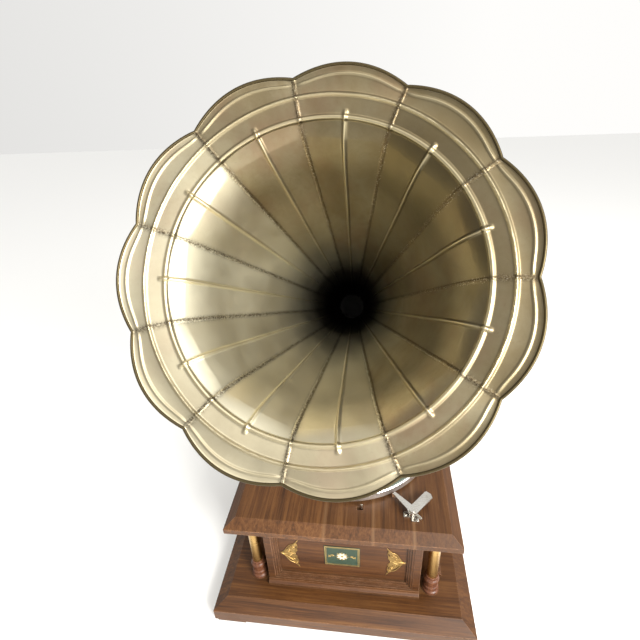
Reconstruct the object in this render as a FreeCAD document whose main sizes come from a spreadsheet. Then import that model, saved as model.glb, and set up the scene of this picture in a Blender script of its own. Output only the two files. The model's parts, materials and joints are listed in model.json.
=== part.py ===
import FreeCAD, Part
import math
import os
import re
import Sketcher

# Wind-up phonograph: a panelled wooden cabinet on a stepped plinth, a spring motor under its top
# board, a turntable, a swinging tonearm on a back bracket and a gored brass horn on an elbow.
# Millimetres.  Origin on the table under the cabinet's centre, +Z up, the front faces -Y.

Vec = FreeCAD.Vector
doc = FreeCAD.newDocument("Phonograph")

DIMS = {
    "foot_high": 9.3, "foot_long": 50, "foot_wide": 20,
    "plinth_half": 219.5, "plinth_lip": 33, "plinth_top": 45.5, "plinth_flat": 197.5,
    "plinth_open": 120, "base_thick": 6,
    "box_half": 165, "face_half": 130, "frame_thick": 12, "post_inner": 106, "box_top": 199.5,
    "stile_wide": 12, "bead_wide": 10, "panel_thick": 4, "bead_deep": 7,
    "column_at": 151, "base_high": 42, "shaft_high": 76, "shaft_radius": 9,
    "board_half": 185, "board_lip": 209, "board_top": 219.7, "board_flat": 168.5,
    "spindle_y": 24.5, "spindle_radius": 4, "peg_radius": 3.55, "peg_top": 252,
    "platter_radius": 153.5, "platter_low": 224.5, "platter_top": 238, "felt_radius": 150,
    "felt_thick": 2.5,
    "plate_low": 100, "plate_high": 186, "plate_thick": 4,
    "plate_left": -62, "plate_right": 100, "plate_front": -32, "plate_back": 130,
    "barrel_x": 45, "barrel_y": 79.5, "barrel_radius": 42, "barrel_low": 149, "barrel_top": 181,
    "arbor_radius": 5, "middle_x": -6.5, "middle_y": 72.06, "middle_radius": 3,
    "governor_y": 0.5, "governor_z": 165, "governor_radius": 2.5,
    "winding_z": 120, "winding_radius": 5, "crank_plane": 190, "crank_long": 60,
    "handle_long": 62, "pin_radius": 3,
    "pivot_y": 242, "ring_low": 246, "ring_high": 300, "ring_thick": 10, "ring_radius": 18,
    "socket_radius": 12, "arm_z": 279, "needle_reach": 232, "park_angle": 43,
    "box_radius": 30, "box_thick": 14, "needle_tip": 243,
    "brake_x": 111, "brake_y": -142, "brake_z": 230,
    "lever_x": 32, "lever_y": -76, "lever_z": 193.5, "lever_reach": 60,
    "horn_x": -20.9, "horn_y": -124.1, "horn_z": 615.9, "horn_rise": 32.18, "horn_yaw": -3.27,
    "horn_long": 400, "throat_radius": 25, "neck_radius": 75, "neck_back": 267.5,
    "bell_radius": 144.6, "bell_back": 104, "ring_inner": 198.3, "ring_outer": 222,
    "notch_radius": 243.6, "tip_radius": 254, "sheet_thick": 1.2, "wire_radius": 2,
    "elbow_radius": 60,
}
GORES = 11
RUNNING = 0.05  # radial clearance of every shaft in its bearing

sheet = doc.addObject("Spreadsheet::Sheet", "Dims")
for row, (alias, size) in enumerate(DIMS.items(), 1):
    sheet.set("A%d" % row, alias)
    sheet.set("B%d" % row, str(size))
    sheet.setAlias("B%d" % row, alias)
doc.recompute()

ALIAS = re.compile(r"[a-z]+(?:_[a-z]+)+")
NODES = []


def rule(text):
    """An expression with its dimension names pointed at the sheet."""
    return ALIAS.sub(lambda word: "Dims." + word.group(), str(text))


def size(text):
    """The present value of an expression."""
    if not isinstance(text, str):
        return float(text)
    sheet.set("D1", "=" + ALIAS.sub(lambda word: word.group(), text))
    sheet.recompute()
    return float(sheet.get("D1"))


def bind(obj, **sizes):
    for prop, text in sizes.items():
        obj.setExpression(prop, rule(text))
    return obj


def place(obj, x, y, z, turn=None):
    if turn:
        obj.Placement = FreeCAD.Placement(Vec(), turn)
    for name, text in zip("xyz", (x, y, z)):
        obj.setExpression("Placement.Base." + name, rule(text))
    return obj


def node(label, obj):
    obj.Label = label
    NODES.append(obj)
    return obj


def box(x0, x1, y0, y1, z0, z1):
    obj = doc.addObject("Part::Box", "Block")
    bind(obj, Length=f"({x1})-({x0})", Width=f"({y1})-({y0})", Height=f"({z1})-({z0})")
    return place(obj, x0, y0, z0)


ALONG_X = FreeCAD.Rotation(Vec(0, 1, 0), 90)
ALONG_Y = FreeCAD.Rotation(Vec(1, 0, 0), -90)


def rod(radius, x, y, z, length, turn=None):
    obj = doc.addObject("Part::Cylinder", "Rod")
    bind(obj, Radius=radius, Height=length)
    return place(obj, x, y, z, turn)


def cone(low, high, x, y, z, length, turn=None):
    obj = doc.addObject("Part::Cone", "Taper")
    bind(obj, Radius1=low, Radius2=high, Height=length)
    return place(obj, x, y, z, turn)


def frustum(low_half, high_half, z0, z1):
    obj = doc.addObject("Part::Wedge", "Bevel")
    bind(obj, Xmin=f"-({low_half})", Xmax=low_half, Zmin=f"-({low_half})", Zmax=low_half,
         X2min=f"-({high_half})", X2max=high_half, Z2min=f"-({high_half})", Z2max=high_half,
         Ymin=0, Ymax=f"({z1})-({z0})")
    return place(obj, 0, 0, z0, FreeCAD.Rotation(Vec(1, 0, 0), 90))


def hexagon(across, x, y, z, length, turn=None):
    obj = doc.addObject("Part::Prism", "Hexagon")
    obj.Polygon = 6
    bind(obj, Circumradius=f"({across})/1.732", Height=length)
    return place(obj, x, y, z, turn)


def fuse(*parts):
    obj = doc.addObject("Part::MultiFuse", "Union")
    obj.Shapes = list(parts)
    return obj


def cut(base, *tools):
    obj = doc.addObject("Part::Cut", "Cut")
    obj.Base = base
    obj.Tool = tools[0] if len(tools) == 1 else fuse(*tools)
    return obj


def group(*parts):
    obj = doc.addObject("Part::Compound", "Group")
    obj.Links = list(parts)
    return obj


def mirror(source, normal):
    obj = doc.addObject("Part::Mirroring", "Mirror")
    obj.Source = source
    obj.Normal = normal
    return obj


def four_corners(piece):
    pair = group(piece, mirror(piece, Vec(1, 0, 0)))
    return group(pair, mirror(pair, Vec(0, 1, 0)))


def turned_about(source, angle, x=0, y=0, z=0, axis=Vec(0, 0, 1)):
    """A linked copy of a piece, turned about an axis through x, y, z."""
    obj = doc.addObject("Part::Compound", "Copy")
    obj.Links = [source]
    centre = Vec(x, y, z)
    spin = FreeCAD.Rotation(axis, angle)
    obj.Placement = FreeCAD.Placement(centre - spin.multVec(centre), spin)
    return obj


def four_sides(piece):
    return group(*(turned_about(piece, 90 * k) for k in range(4)))


def body_sketch(plane_name, loops, circles=()):
    """A body and its sketch: closed loops of straight edges and round holes, each vertex bound."""
    body = doc.addObject("PartDesign::Body", "Body")
    sketch = body.newObject("Sketcher::SketchObject", "Outline")
    plane = [item for item in body.Origin.OriginFeatures if item.Role == plane_name][0]
    sketch.AttachmentSupport = [(plane, "")]
    sketch.MapMode = "FlatFace"
    pins = []
    for loop in loops:
        spots = [Vec(size(a), size(b), 0) for a, b in loop]
        first = sketch.GeometryCount
        count = len(spots)
        for k in range(count):
            sketch.addGeometry(Part.LineSegment(spots[k], spots[(k + 1) % count]))
        for k in range(count):
            sketch.addConstraint(
                Sketcher.Constraint("Coincident", first + k, 2, first + (k + 1) % count, 1))
        pins += [(first + k, 1, loop[k], spots[k]) for k in range(count)]
    for a, b, radius in circles:
        spot = Vec(size(a), size(b), 0)
        index = sketch.addGeometry(Part.Circle(spot, Vec(0, 0, 1), size(radius)))
        held = sketch.addConstraint(Sketcher.Constraint("Radius", index, size(radius)))
        sketch.setExpression("Constraints[%d]" % held, rule(radius))
        pins.append((index, 3, (a, b), spot))
    for index, end, texts, spot in pins:
        for kind, text, value, line in (("DistanceX", texts[0], spot.x, -2),
                                        ("DistanceY", texts[1], spot.y, -1)):
            if value == 0:
                sketch.addConstraint(Sketcher.Constraint("PointOnObject", index, end, line))
                continue
            held = sketch.addConstraint(Sketcher.Constraint(kind, -1, 1, index, end, value))
            sketch.setExpression("Constraints[%d]" % held, rule(text))
    return body, sketch


def turned(profile, x, y, z, turn=None):
    """A turned piece from its (radius, height) outline, on a body placed at x, y, z."""
    body, sketch = body_sketch("XZ_Plane", [profile])
    spin = body.newObject("PartDesign::Revolution", "Spin")
    spin.Profile = sketch
    spin.ReferenceAxis = (sketch, ["V_Axis"])
    spin.Angle = 360
    body.Tip = spin
    return place(body, x, y, z, turn)


def slab(plane_name, loops, thickness, x, y, z, circles=(), both_ways=False):
    """A flat piece padded from its outline."""
    body, sketch = body_sketch(plane_name, loops, circles)
    pad = body.newObject("PartDesign::Pad", "Thickness")
    pad.Profile = sketch
    bind(pad, Length=thickness)
    if both_ways:
        pad.SideType = "Symmetric"
    body.Tip = pad
    return place(body, x, y, z)


def formula(shape, place_at=None):
    """A piece whose surface follows a formula."""
    obj = doc.addObject("Part::Feature", "Formula")
    obj.Shape = shape
    if place_at:
        obj.Placement = place_at
    return obj


def at(x, y, z, turn=None):
    return FreeCAD.Placement(Vec(x, y, z), turn or FreeCAD.Rotation())


# ---------------------------------------------------------------- cabinet

foot = cut(box("plinth_half-3-foot_long", "plinth_half-3", "plinth_half-3-foot_long",
               "plinth_half-3", 0, "foot_high"),
           box("plinth_half-4-foot_long", "plinth_half-3-foot_wide", "plinth_half-4-foot_long",
               "plinth_half-3-foot_wide", -1, "foot_high+1"))
node("corner_feet", four_corners(foot))

plinth = fuse(box("-plinth_half", "plinth_half", "-plinth_half", "plinth_half", "foot_high",
                  "plinth_lip"),
              frustum("plinth_half", "plinth_flat", "plinth_lip", "plinth_top"))
opening = box("-plinth_open", "plinth_open", "-plinth_open", "plinth_open", 0, "plinth_top+1")
node("plinth_frame", cut(plinth, opening))
runner_room = box("16-plinth_open", "plinth_open-16", "16-plinth_open", "plinth_open-16", -1,
                  "plinth_lip")
node("base_board", cut(box("-plinth_open", "plinth_open", "-plinth_open", "plinth_open", 0,
                           "plinth_lip+base_thick"), runner_room))

# One face of the box: stiles and rails round an opening, beads in it, a thin panel behind.
open_half = "(face_half-stile_wide)"
open_low = "(plinth_top+stile_wide)"
open_high = "(box_top-stile_wide)"
face_frame = cut(
    box("-face_half", "face_half", "-box_half", "frame_thick-box_half", "plinth_top", "box_top"),
    box(f"-{open_half}", open_half, "-box_half-1", "frame_thick-box_half+1", open_low, open_high))


def bead(outer_in, inner_in, deep):
    """A rectangular ring in the opening, its two edges set in from the opening's edge."""
    front = f"frame_thick-box_half-panel_thick-{deep}"
    back = "frame_thick-box_half-panel_thick"
    return cut(box(f"{outer_in}-{open_half}", f"{open_half}-{outer_in}", front, back,
                   f"{open_low}+{outer_in}", f"{open_high}-{outer_in}"),
               box(f"{inner_in}-{open_half}", f"{open_half}-{inner_in}", f"{front}-1",
                   f"{back}+1", f"{open_low}+{inner_in}", f"{open_high}-{inner_in}"))


beads = fuse(bead(0, 3.5, "bead_deep"), bead(3.5, 7, "(bead_deep*0.7)"),
             bead(7, "bead_wide", "(bead_deep*0.4)"))
node("panel_frames", group(four_sides(face_frame), four_sides(beads)))

panel = box(f"-{open_half}", open_half, "frame_thick-box_half-panel_thick",
            "frame_thick-box_half", open_low, open_high)
crank_hole = rod("winding_radius+3", "box_half-frame_thick-1", "barrel_y", "winding_z",
                 "frame_thick+2", ALONG_X)
node("box_panels", cut(four_sides(panel), crank_hole))

post = slab("XY_Plane", [[("post_inner", "post_inner"), ("box_half-frame_thick", "post_inner"),
                          ("box_half-frame_thick", "face_half"), ("face_half", "face_half"),
                          ("face_half", "box_half-frame_thick"),
                          ("post_inner", "box_half-frame_thick")]],
            "box_top-plinth_top", 0, 0, "plinth_top")
node("corner_posts", four_corners(post))

skirting = slab("YZ_Plane", [[("-box_half-7", 0), ("-box_half", 0), ("-box_half", 11),
                              ("-box_half-2", 11), ("-box_half-3", 7), ("-box_half-7", 4)]],
                "2*face_half", 0, 0, "plinth_top", both_ways=True)
cornice = slab("YZ_Plane", [[("-box_half-9", 0), ("-box_half", 0), ("-box_half", -12),
                             ("-box_half-2", -12), ("-box_half-4", -6), ("-box_half-9", -3)]],
               "2*face_half", 0, 0, "box_top", both_ways=True)
node("box_mouldings", group(four_sides(skirting), four_sides(cornice)))

column_base = turned([(0, 0), (14, 0), (14, 5), (11, 8), (11, 11), (12.5, 14), (11, 17), (11, 25),
                      (12.5, 28), (12.5, 33), (10, 36), (10, "base_high"), (0, "base_high")],
                     "column_at", "column_at", "plinth_top")
node("column_bases", four_corners(column_base))
column_shaft = turned([(0, 0), ("shaft_radius", 0), ("shaft_radius", "shaft_high"),
                       (0, "shaft_high")],
                      "column_at", "column_at", "plinth_top+base_high")
node("column_shafts", four_corners(column_shaft))
cap_high = "box_top-plinth_top-base_high-shaft_high"
column_cap = turned([(0, 0), (10, 0), (10, 4), (12.5, 8), (12.5, 12), (11, 16), (11, 22),
                     (14, 28), (14, cap_high), (0, cap_high)],
                    "column_at", "column_at", "plinth_top+base_high+shaft_high")
node("column_caps", four_corners(column_cap))

MOTOR_BOLTS = ((-52, 24), (90, 30), (-20, 122))
BRAKE_SCREWS = ((101, -141), (118, -150))
board = fuse(box("-board_half", "board_half", "-board_half", "board_half", "box_top",
                 "board_lip"),
             frustum("board_half", "board_flat", "board_lip", "board_top"))
holes = [rod(9, 0, "spindle_y", "box_top-1", 25),
         box("lever_x-8", "lever_x+2.5", "lever_y-lever_reach-2.5", "lever_y-lever_reach+2.5",
             "box_top-1", "board_top+1"),
         rod(2, "lever_x", "lever_y", "box_top-1", 11)]
holes += [rod(3, x, y, "box_top-1", 25) for x, y in MOTOR_BOLTS]
node("top_board", cut(board, *holes))

ornament = slab("XZ_Plane", [[(107, 119), (96, 127), (90, 136), (82, 146), (73, 157), (77, 148),
                              (75.5, 141), (79, 134), (76.5, 126), (79.5, 119), (76.5, 112),
                              (79, 104), (75.5, 97), (77.5, 89), (73.5, 79), (82, 91),
                              (90, 102), (96, 111)]],
                1.5, 0, "frame_thick-box_half-panel_thick", 0)
node("panel_ornaments", group(ornament, mirror(ornament, Vec(1, 0, 0))))
node("inlay_plaque", box(-30, 30, "frame_thick-box_half-panel_thick-1.5",
                         "frame_thick-box_half-panel_thick", 97, 148))

# ---------------------------------------------------------------- motor frame

plate_span = ("plate_left", "plate_right", "plate_front", "plate_back")
pillar_spots = ((-54, -22), (60, -24), (-54, 120), (94, 122))


def bearings(z):
    """The holes that both motor plates share."""
    spots = (("spindle_radius", 0, "spindle_y"), ("arbor_radius", "barrel_x", "barrel_y"),
             ("middle_radius", "middle_x", "middle_y"))
    found = [rod(f"{radius}+{RUNNING}", x, y, z, 8) for radius, x, y in spots]
    return found + [rod(2.5, x, y, z, 8) for x, y in pillar_spots]


top_plate = box(*plate_span, "plate_high", "plate_high+plate_thick")
lever_notch = box(76, 101, -33, -1, "plate_high-2", "plate_high+plate_thick+2")
bolt_holes = [rod(3, x, y, "plate_high-2", 8) for x, y in MOTOR_BOLTS]
node("motor_top_plate", cut(top_plate, lever_notch, *bearings("plate_high-2"), *bolt_holes))
low_plate = box(*plate_span, "plate_low", "plate_low+plate_thick")
pawl_stud = [rod(2, 63, 68, "plate_low", 11.5), rod(3.5, 63, 68, 111.2, 1.5),
             rod(3.5, 63, 68, "plate_low+plate_thick", 2.8)]
node("motor_bottom_plate", fuse(cut(low_plate, *bearings("plate_low-2")), *pawl_stud))

pillar_gap = "plate_high-plate_low-plate_thick"
node("motor_pillars", group(*(
    fuse(rod(4.5, x, y, "plate_low+plate_thick", pillar_gap),
         rod(2.5, x, y, "plate_low-4", "plate_high-plate_low+plate_thick+8"))
    for x, y in pillar_spots)))
node("pillar_nuts", group(*(
    cut(hexagon(8, x, y, z, 3), rod(2.5, x, y, f"{z}-1", 5))
    for x, y in pillar_spots for z in ("plate_low-3", "plate_high+plate_thick"))))
lever_screw = fuse(rod(3, "lever_x", "lever_y", "lever_z-0.3", "box_top-lever_z+0.3"),
                   rod(6, "lever_x", "lever_y", "lever_z-2.3", 2),
                   rod(2, "lever_x", "lever_y", "lever_z", 14))
node("board_fasteners", group(lever_screw, *(
    fuse(rod(3, x, y, "plate_high-7", "board_top-plate_high+7"),
         rod(5.5, x, y, "board_top", 2.2),
         hexagon(9, x, y, "plate_high-4", 4))
    for x, y in MOTOR_BOLTS)))
node("motor_grommets", group(*(
    cut(rod(7, x, y, "plate_high+plate_thick", "box_top-plate_high-plate_thick"),
        rod(3, x, y, "plate_high+plate_thick-1", 20))
    for x, y in MOTOR_BOLTS)))

# ---------------------------------------------------------------- gears


def spot_on(radius, angle):
    return Vec(radius * math.cos(angle), radius * math.sin(angle), 0)


def gear(module, teeth, bore, thick, phase=0.0):
    """A spur gear; one tooth points along the angle phase."""
    pitch = module * teeth / 2
    step = 2 * math.pi / teeth
    flank = ((pitch - 1.2 * module, 0.28), (pitch, 0.20), (pitch + 0.9 * module, 0.11))
    outline = []
    for tooth in range(teeth):
        middle = phase + tooth * step
        outline += [spot_on(radius, middle - half * step) for radius, half in flank]
        outline += [spot_on(radius, middle + half * step) for radius, half in reversed(flank)]
    blank = Part.Face(Part.makePolygon(outline + outline[:1])).extrude(Vec(0, 0, thick))
    if not bore:
        return blank
    return blank.cut(Part.makeCylinder(bore, thick + 2, Vec(0, 0, -1)))


def toward(x0, y0, x1, y1):
    return math.atan2(y1 - y0, x1 - x0)


spindle_at = (0, DIMS["spindle_y"])
barrel_at = (DIMS["barrel_x"], DIMS["barrel_y"])
middle_at = (DIMS["middle_x"], DIMS["middle_y"])
to_spindle = toward(*middle_at, *spindle_at)
to_barrel = toward(*middle_at, *barrel_at)
half_tooth = math.pi / 16

node("spindle_pinion", formula(gear(1, 16, DIMS["spindle_radius"], 6,
                                    to_spindle + math.pi + half_tooth), at(*spindle_at, 137)))
node("intermediate_wheel", formula(gear(1, 80, DIMS["middle_radius"], 3, to_spindle),
                                   at(*middle_at, 138.5)))
middle_pinion = formula(gear(1, 16, 0, 7, to_barrel + half_tooth), at(*middle_at, 143))
middle_rod = rod("middle_radius", "middle_x", "middle_y", "plate_low+1",
                 "plate_high+plate_thick-plate_low-2")
middle_boss = rod(5.5, "middle_x", "middle_y", 141.5, 1.6)
node("intermediate_arbor", fuse(middle_rod, middle_boss, middle_pinion))

barrel_ring = formula(gear(1, 88, 0, 5, to_barrel + math.pi), at(*barrel_at, 144))
barrel_drum = rod("barrel_radius", "barrel_x", "barrel_y", "barrel_low-1",
                  "barrel_top-barrel_low+1")
barrel_room = rod("barrel_radius-1.5", "barrel_x", "barrel_y", "barrel_low+1",
                  "barrel_top-barrel_low")
arbor_bore = rod(f"arbor_radius+{RUNNING}", "barrel_x", "barrel_y", 140, 50)
node("spring_barrel", cut(fuse(barrel_ring, barrel_drum), barrel_room, arbor_bore))
node("barrel_cover", cut(rod("barrel_radius", "barrel_x", "barrel_y", "barrel_top", 2),
                         rod(f"arbor_radius+{RUNNING}", "barrel_x", "barrel_y", 180, 5)))


def spiral_strip(inner, outer, turns, thick, high):
    """A flat spring strip, wound evenly, standing on its edge."""
    steps = int(turns * 16)
    sides = []
    for shift in (-thick / 2, thick / 2):
        spots = [spot_on(inner + (outer - inner) * k / steps + shift, turns * 2 * math.pi * k / steps)
                 for k in range(steps + 1)]
        curve = Part.BSplineCurve()
        curve.interpolate(spots)
        sides.append(curve.toShape())
    ends = [Part.makeLine(sides[0].valueAt(sides[0].ParameterRange[k]),
                          sides[1].valueAt(sides[1].ParameterRange[k])) for k in (0, 1)]
    return Part.Face(Part.Wire(Part.__sortEdges__(sides + ends))).extrude(Vec(0, 0, high))


node("mainspring", formula(spiral_strip(11, 38, 9, 0.8, 26), at(*barrel_at, 152)))
node("barrel_arbor", fuse(
    rod("arbor_radius", "barrel_x", "barrel_y", "plate_low+1",
        "plate_high+plate_thick-plate_low-2"),
    rod(8, "barrel_x", "barrel_y", 152, 26)))

PINION_TEETH = 14
CROWN_TEETH = 36
WINDING_MODULE = 1.5
crown_radius = WINDING_MODULE * CROWN_TEETH / 2
pinion_radius = WINDING_MODULE * PINION_TEETH / 2


def crown_wheel():
    """A disc with teeth that hang from its rim, and a hub."""
    line = DIMS["winding_z"] + pinion_radius
    root = line + 1.4
    inner, outer = crown_radius - 2.5, crown_radius + 2.5
    disc = Part.makeCylinder(outer, 4, Vec(0, 0, root))
    disc = disc.fuse(Part.makeCylinder(9, 3.5, Vec(0, 0, root - 3)))
    step = 2 * math.pi / CROWN_TEETH
    for tooth in range(CROWN_TEETH):
        middle = (tooth + 0.5) * step
        corners = [spot_on(inner, middle - 0.19 * step), spot_on(outer, middle - 0.19 * step),
                   spot_on(outer, middle + 0.19 * step), spot_on(inner, middle + 0.19 * step)]
        blank = Part.Face(Part.makePolygon(corners + corners[:1])).extrude(Vec(0, 0, 2.4))
        blank.translate(Vec(0, 0, line - 0.9))
        disc = disc.fuse(blank)
    return disc.cut(Part.makeCylinder(DIMS["arbor_radius"], 30, Vec(0, 0, line - 10)))


node("crown_wheel", formula(crown_wheel(), at(*barrel_at, 0)))


def ratchet(teeth, tip, root, bore, thick):
    """A saw-toothed wheel."""
    step = 2 * math.pi / teeth
    outline = []
    for tooth in range(teeth):
        outline += [spot_on(root, tooth * step), spot_on(tip, tooth * step)]
    blank = Part.Face(Part.makePolygon(outline + outline[:1])).extrude(Vec(0, 0, thick))
    return blank.cut(Part.makeCylinder(bore, thick + 2, Vec(0, 0, -1)))


node("ratchet_wheel", formula(ratchet(12, 15, 12, DIMS["arbor_radius"], 4),
                              at(*barrel_at, 107)))
pawl_arm = slab("XY_Plane", [[(-4, 4), (-5, -3), (3, -5), (5, 2), (1.2, 6.8), (-0.2, 6.2)]],
                4, 63, 68, 107, circles=[(0, 0, 2 + RUNNING)])
node("pawl", turned_about(pawl_arm, 42, 63, 68))

# ---------------------------------------------------------------- turntable

node("turntable_spindle", turned(
    [(0, 0), ("spindle_radius", 0), ("spindle_radius", "platter_top+felt_thick-plate_low-1"),
     ("peg_radius", "platter_top+felt_thick-plate_low-1"), ("peg_radius", "peg_top-plate_low-3"),
     ("peg_radius-1.5", "peg_top-plate_low-1"), (0, "peg_top-plate_low-1")],
    0, "spindle_y", "plate_low+1"))
node("platter", turned(
    [("spindle_radius", 0), (16, 0), (16, 7), ("platter_radius-6", 9), ("platter_radius-6", 0),
     ("platter_radius-1", 0), ("platter_radius", 1), ("platter_radius", 12),
     ("platter_radius-1.5", "platter_top-platter_low"),
     ("spindle_radius", "platter_top-platter_low")],
    0, "spindle_y", "platter_low"))
node("platter_felt", cut(rod("felt_radius", 0, "spindle_y", "platter_top", "felt_thick"),
                         rod("spindle_radius", 0, "spindle_y", "platter_top-1", 5)))
wheel_turn = math.pi / 38
node("worm_wheel", formula(gear(1, 36, DIMS["spindle_radius"], 8, wheel_turn),
                           at(*spindle_at, 161)))

# ---------------------------------------------------------------- governor

worm = [(0, 0), (2.5, 0), (2.5, 26)]
for ridge in range(6):
    low = 26 + 3 * ridge
    worm += [(4, low), (4.6, low + 0.8), (4.6, low + 1.4), (4, low + 2.2)]
worm += [(2.5, 45), (2.5, 54), (6, 54), (6, 60), (2.5, 60), (2.5, 94), (6, 94), (6, 99),
         (2.5, 99), (2.5, 132), (0, 132)]
node("governor_shaft", turned(worm, -35, "governor_y", "governor_z", ALONG_X))
node("governor_disc", cut(rod(17, 64.5, "governor_y", "governor_z", 3, ALONG_X),
                          rod("governor_radius", 64, "governor_y", "governor_z", 4, ALONG_X)))


def governor_arms():
    """Three leaf springs between the collars, a weight riding on the middle of each."""
    solids = []
    for k in range(3):
        leaf = Part.makeBox(36, 5, 0.6, Vec(24, -2.5, 6))
        leaf = leaf.fuse(Part.makeCylinder(6, 7, Vec(42, 0, 6.6)))
        leaf.rotate(Vec(0, 0, 0), Vec(1, 0, 0), 120 * k)
        solids.append(leaf)
    return Part.makeCompound(solids)


node("governor_weights", formula(governor_arms(),
                                 at(0, DIMS["governor_y"], DIMS["governor_z"])))


def governor_bracket(x0, x1):
    arm = box(x0, x1, "governor_y-6", "governor_y+8", "governor_z-8", "plate_high")
    bore = rod(f"governor_radius+{RUNNING}", f"{x0}-1", "governor_y", "governor_z", 10, ALONG_X)
    return cut(arm, bore)


node("governor_brackets", group(governor_bracket(-34, -28), governor_bracket(88, 94)))

# ---------------------------------------------------------------- speed lever

lever_plate = slab("XY_Plane", [[(-5, -63), (5, -63), (6, -4), (52, 58), (57, 58), (57, 66),
                                 (48, 66), (-6, 5)]],
                   2.5, "lever_x", "lever_y", "lever_z", circles=[(0, 0, 3 + RUNNING)])
lever_pin = rod(1.6, "lever_x", "lever_y-lever_reach", "lever_z+1", "board_top-lever_z+8")
lever_tab = box("lever_x+52", "lever_x+54", "lever_y+58", "lever_y+66", 171, "lever_z+1")
lever_pad = rod(3.5, "lever_x+36.2", "lever_y+62", 173.5, 15.9, ALONG_X)
node("speed_lever", fuse(lever_plate, lever_pin, lever_tab, lever_pad))

# ---------------------------------------------------------------- winding crank

winding_pinion = formula(gear(WINDING_MODULE, PINION_TEETH, 0, 6, 0.0),
                         at(DIMS["barrel_x"] + crown_radius - 3, DIMS["barrel_y"],
                            DIMS["winding_z"], ALONG_X))
shaft_start = DIMS["barrel_x"] + crown_radius - 3
winding_rod = rod("winding_radius", shaft_start, "barrel_y", "winding_z",
                  f"crank_plane-{shaft_start}+6", ALONG_X)
node("winding_shaft", fuse(winding_rod, winding_pinion))
bearing_block = box(84, 96, "barrel_y-10", "barrel_y+10", "plate_low+plate_thick",
                    "winding_z+12")
node("shaft_bearing", cut(bearing_block, rod(f"winding_radius+{RUNNING}", 83, "barrel_y",
                                             "winding_z", 14, ALONG_X)))
panel_face = "box_half-frame_thick+panel_thick"
plate_profile = [(f"winding_radius+{RUNNING}", 0), (18, 0), (18, 1.5), (15, 3), (9, 3.5), (8, 12),
                 (f"winding_radius+{RUNNING}", 12)]
node("crank_escutcheon", turned(plate_profile, panel_face, "barrel_y", "winding_z", ALONG_X))
arm_outline = [[(-8, -8), (8, -8), (6, "crank_long+4"), (3, "crank_long+7"),
                (-3, "crank_long+7"), (-6, "crank_long+4")]]
crank_bar = slab("YZ_Plane", arm_outline, 6, "crank_plane", "barrel_y", "winding_z",
                 circles=[(0, 0, "winding_radius")])
crank_pin = rod("pin_radius", "crank_plane+6", "barrel_y", "winding_z+crank_long",
                "handle_long+4", ALONG_X)
crank_cap = rod(5, "crank_plane+handle_long+10.3", "barrel_y", "winding_z+crank_long", 2, ALONG_X)
node("crank_arm", fuse(crank_bar, crank_pin, crank_cap))
knob_profile = [(f"pin_radius+{RUNNING}", 0), (7, 0), (8, 3), (6.5, 8), (9, 22), (11, 38),
                (10.5, 52), (7, "handle_long-2"), (5, "handle_long"),
                (f"pin_radius+{RUNNING}", "handle_long")]
node("crank_handle", turned(knob_profile, "crank_plane+7", "barrel_y", "winding_z+crank_long",
                            ALONG_X))

# ---------------------------------------------------------------- brake

brake_foot = fuse(box("brake_x-13", "brake_x+4", "brake_y-4", "brake_y+5", "board_top",
                      "board_top+2"),
                  box("brake_x-1", "brake_x+10", "brake_y-11", "brake_y+1", "board_top",
                      "board_top+2"),
                  rod(5, "brake_x", "brake_y", "board_top", "brake_z-board_top-0.1"),
                  rod(2.5, "brake_x", "brake_y", "board_top", "brake_z-board_top+3.2"),
                  rod(5, "brake_x", "brake_y", "brake_z+2.7", 2.2),
                  *(rod(3, x, y, "board_top", 3.4) for x, y in BRAKE_SCREWS))
node("brake_base", brake_foot)
finger_plate = [(116.5, -147.5), (143.7, -115.9), (142, -108.8), (135.2, -104.2),
                (132.3, -106.1), (110.5, -131.5), (85.4, -109.2), (81.6, -112.5),
                (102.6, -139.3), (105.5, -147)]
brake_body = slab("XY_Plane", [[(x - 111, y + 142) for x, y in finger_plate]], 2.5,
                  "brake_x", "brake_y", "brake_z", circles=[(0, 0, 2.5 + RUNNING)])
brake_tail = rod(2, 117, -148, "brake_z+1", 10, FreeCAD.Rotation(Vec(1, 1, 0), 90))
node("brake_lever", fuse(brake_body, brake_tail))
node("brake_pad", box(80.6, 86.4, -114.4, -109.6, "brake_z-5", "brake_z"))

# ---------------------------------------------------------------- back bracket

bracket_arm = slab("YZ_Plane", [[(171, 132), (205, 136), (252, 160), (266, 190), (268, 311),
                                 (256, 311), (256, 200), (243, 178), (200, 156), (171, 156)]],
                   16, 0, 0, 0, both_ways=True)
bracket_foot = box(-28, 28, "box_half", "box_half+6", 112, 180)
rings = [rod("ring_radius", 0, "pivot_y", z, "ring_thick+1") for z in ("ring_low-1", "ring_high")]
bracket = fuse(bracket_foot, bracket_arm, *rings)
ring_bores = [rod(f"socket_radius+{RUNNING}", 0, "pivot_y", "ring_low", 80)]
SCREW_SPOTS = ((-20, 120), (20, 120), (-20, 172), (20, 172))
screw_holes = [rod(2.5, x, "box_half-1", z, 8, ALONG_Y) for x, z in SCREW_SPOTS]
node("back_bracket", cut(bracket, *ring_bores, *screw_holes))
node("bracket_screws", group(*(
    fuse(rod(2.5, x, "box_half", z, 7, ALONG_Y), rod(4.5, x, "box_half+6", z, 2.5, ALONG_Y))
    for x, z in SCREW_SPOTS)))

# ---------------------------------------------------------------- tonearm, parked to the right

park = FreeCAD.Rotation(Vec(0, 0, 1), DIMS["park_angle"] - 90)
arm_place = FreeCAD.Placement(Vec(0, DIMS["pivot_y"], DIMS["arm_z"]), park)
HALF_TURRET = 22.9


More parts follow.
